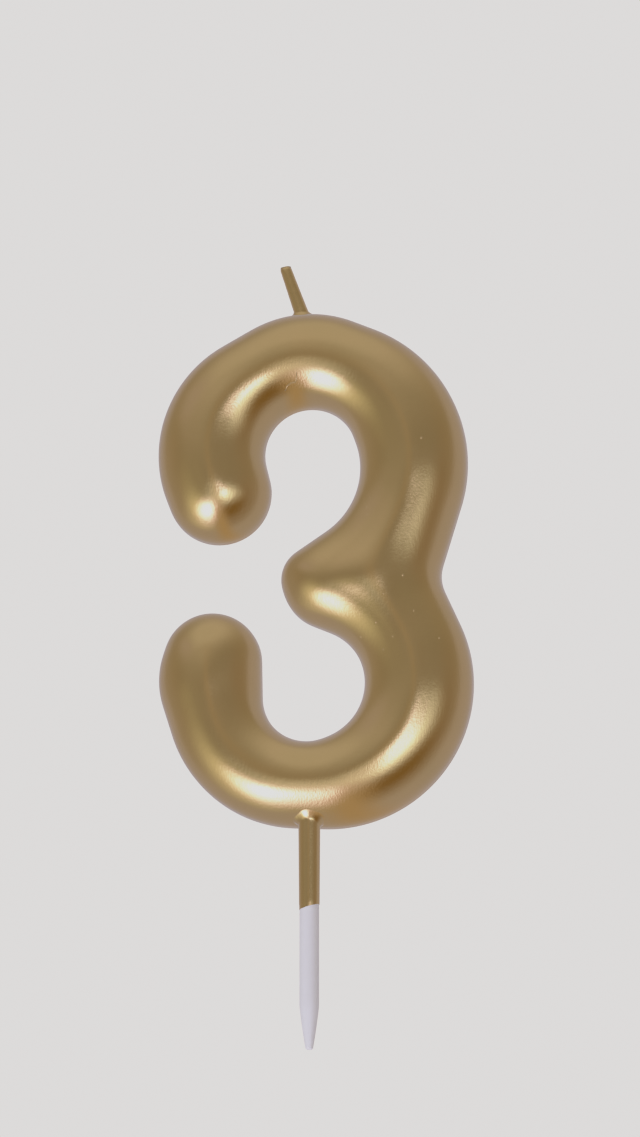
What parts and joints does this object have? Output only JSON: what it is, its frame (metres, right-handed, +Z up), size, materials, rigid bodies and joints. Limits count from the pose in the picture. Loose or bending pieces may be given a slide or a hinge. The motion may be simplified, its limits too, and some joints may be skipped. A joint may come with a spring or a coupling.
{
  "type": "number candle",
  "caption": "Slim numeral candle, half-round in front and flat behind, with a leaning wick and a pointed pick that pushes into a cake.",
  "frame": {"origin": "on the cake pick's axis, level with the lowest point of the numeral, where the cake's top would be", "axes": "+Z up along the pick, the numeral's front faces -Y and its flat back faces +Y, +X to the right as it is read"},
  "size_m": [0.0438, 0.01, 0.1102],
  "materials": {
    "gold_lacquer": "glossy metallic gold lacquer, dipped",
    "wax": "cast ivory paraffin wax",
    "wick_cotton": "braided cotton, waxed",
    "pick_plastic": "white moulded plastic, satin"
  },
  "bodies": {
    "root": {"wax_numeral": "wax", "lacquer_film": "gold_lacquer", "wick": "wick_cotton", "cake_pick": "pick_plastic"}
  },
  "joints": []
}
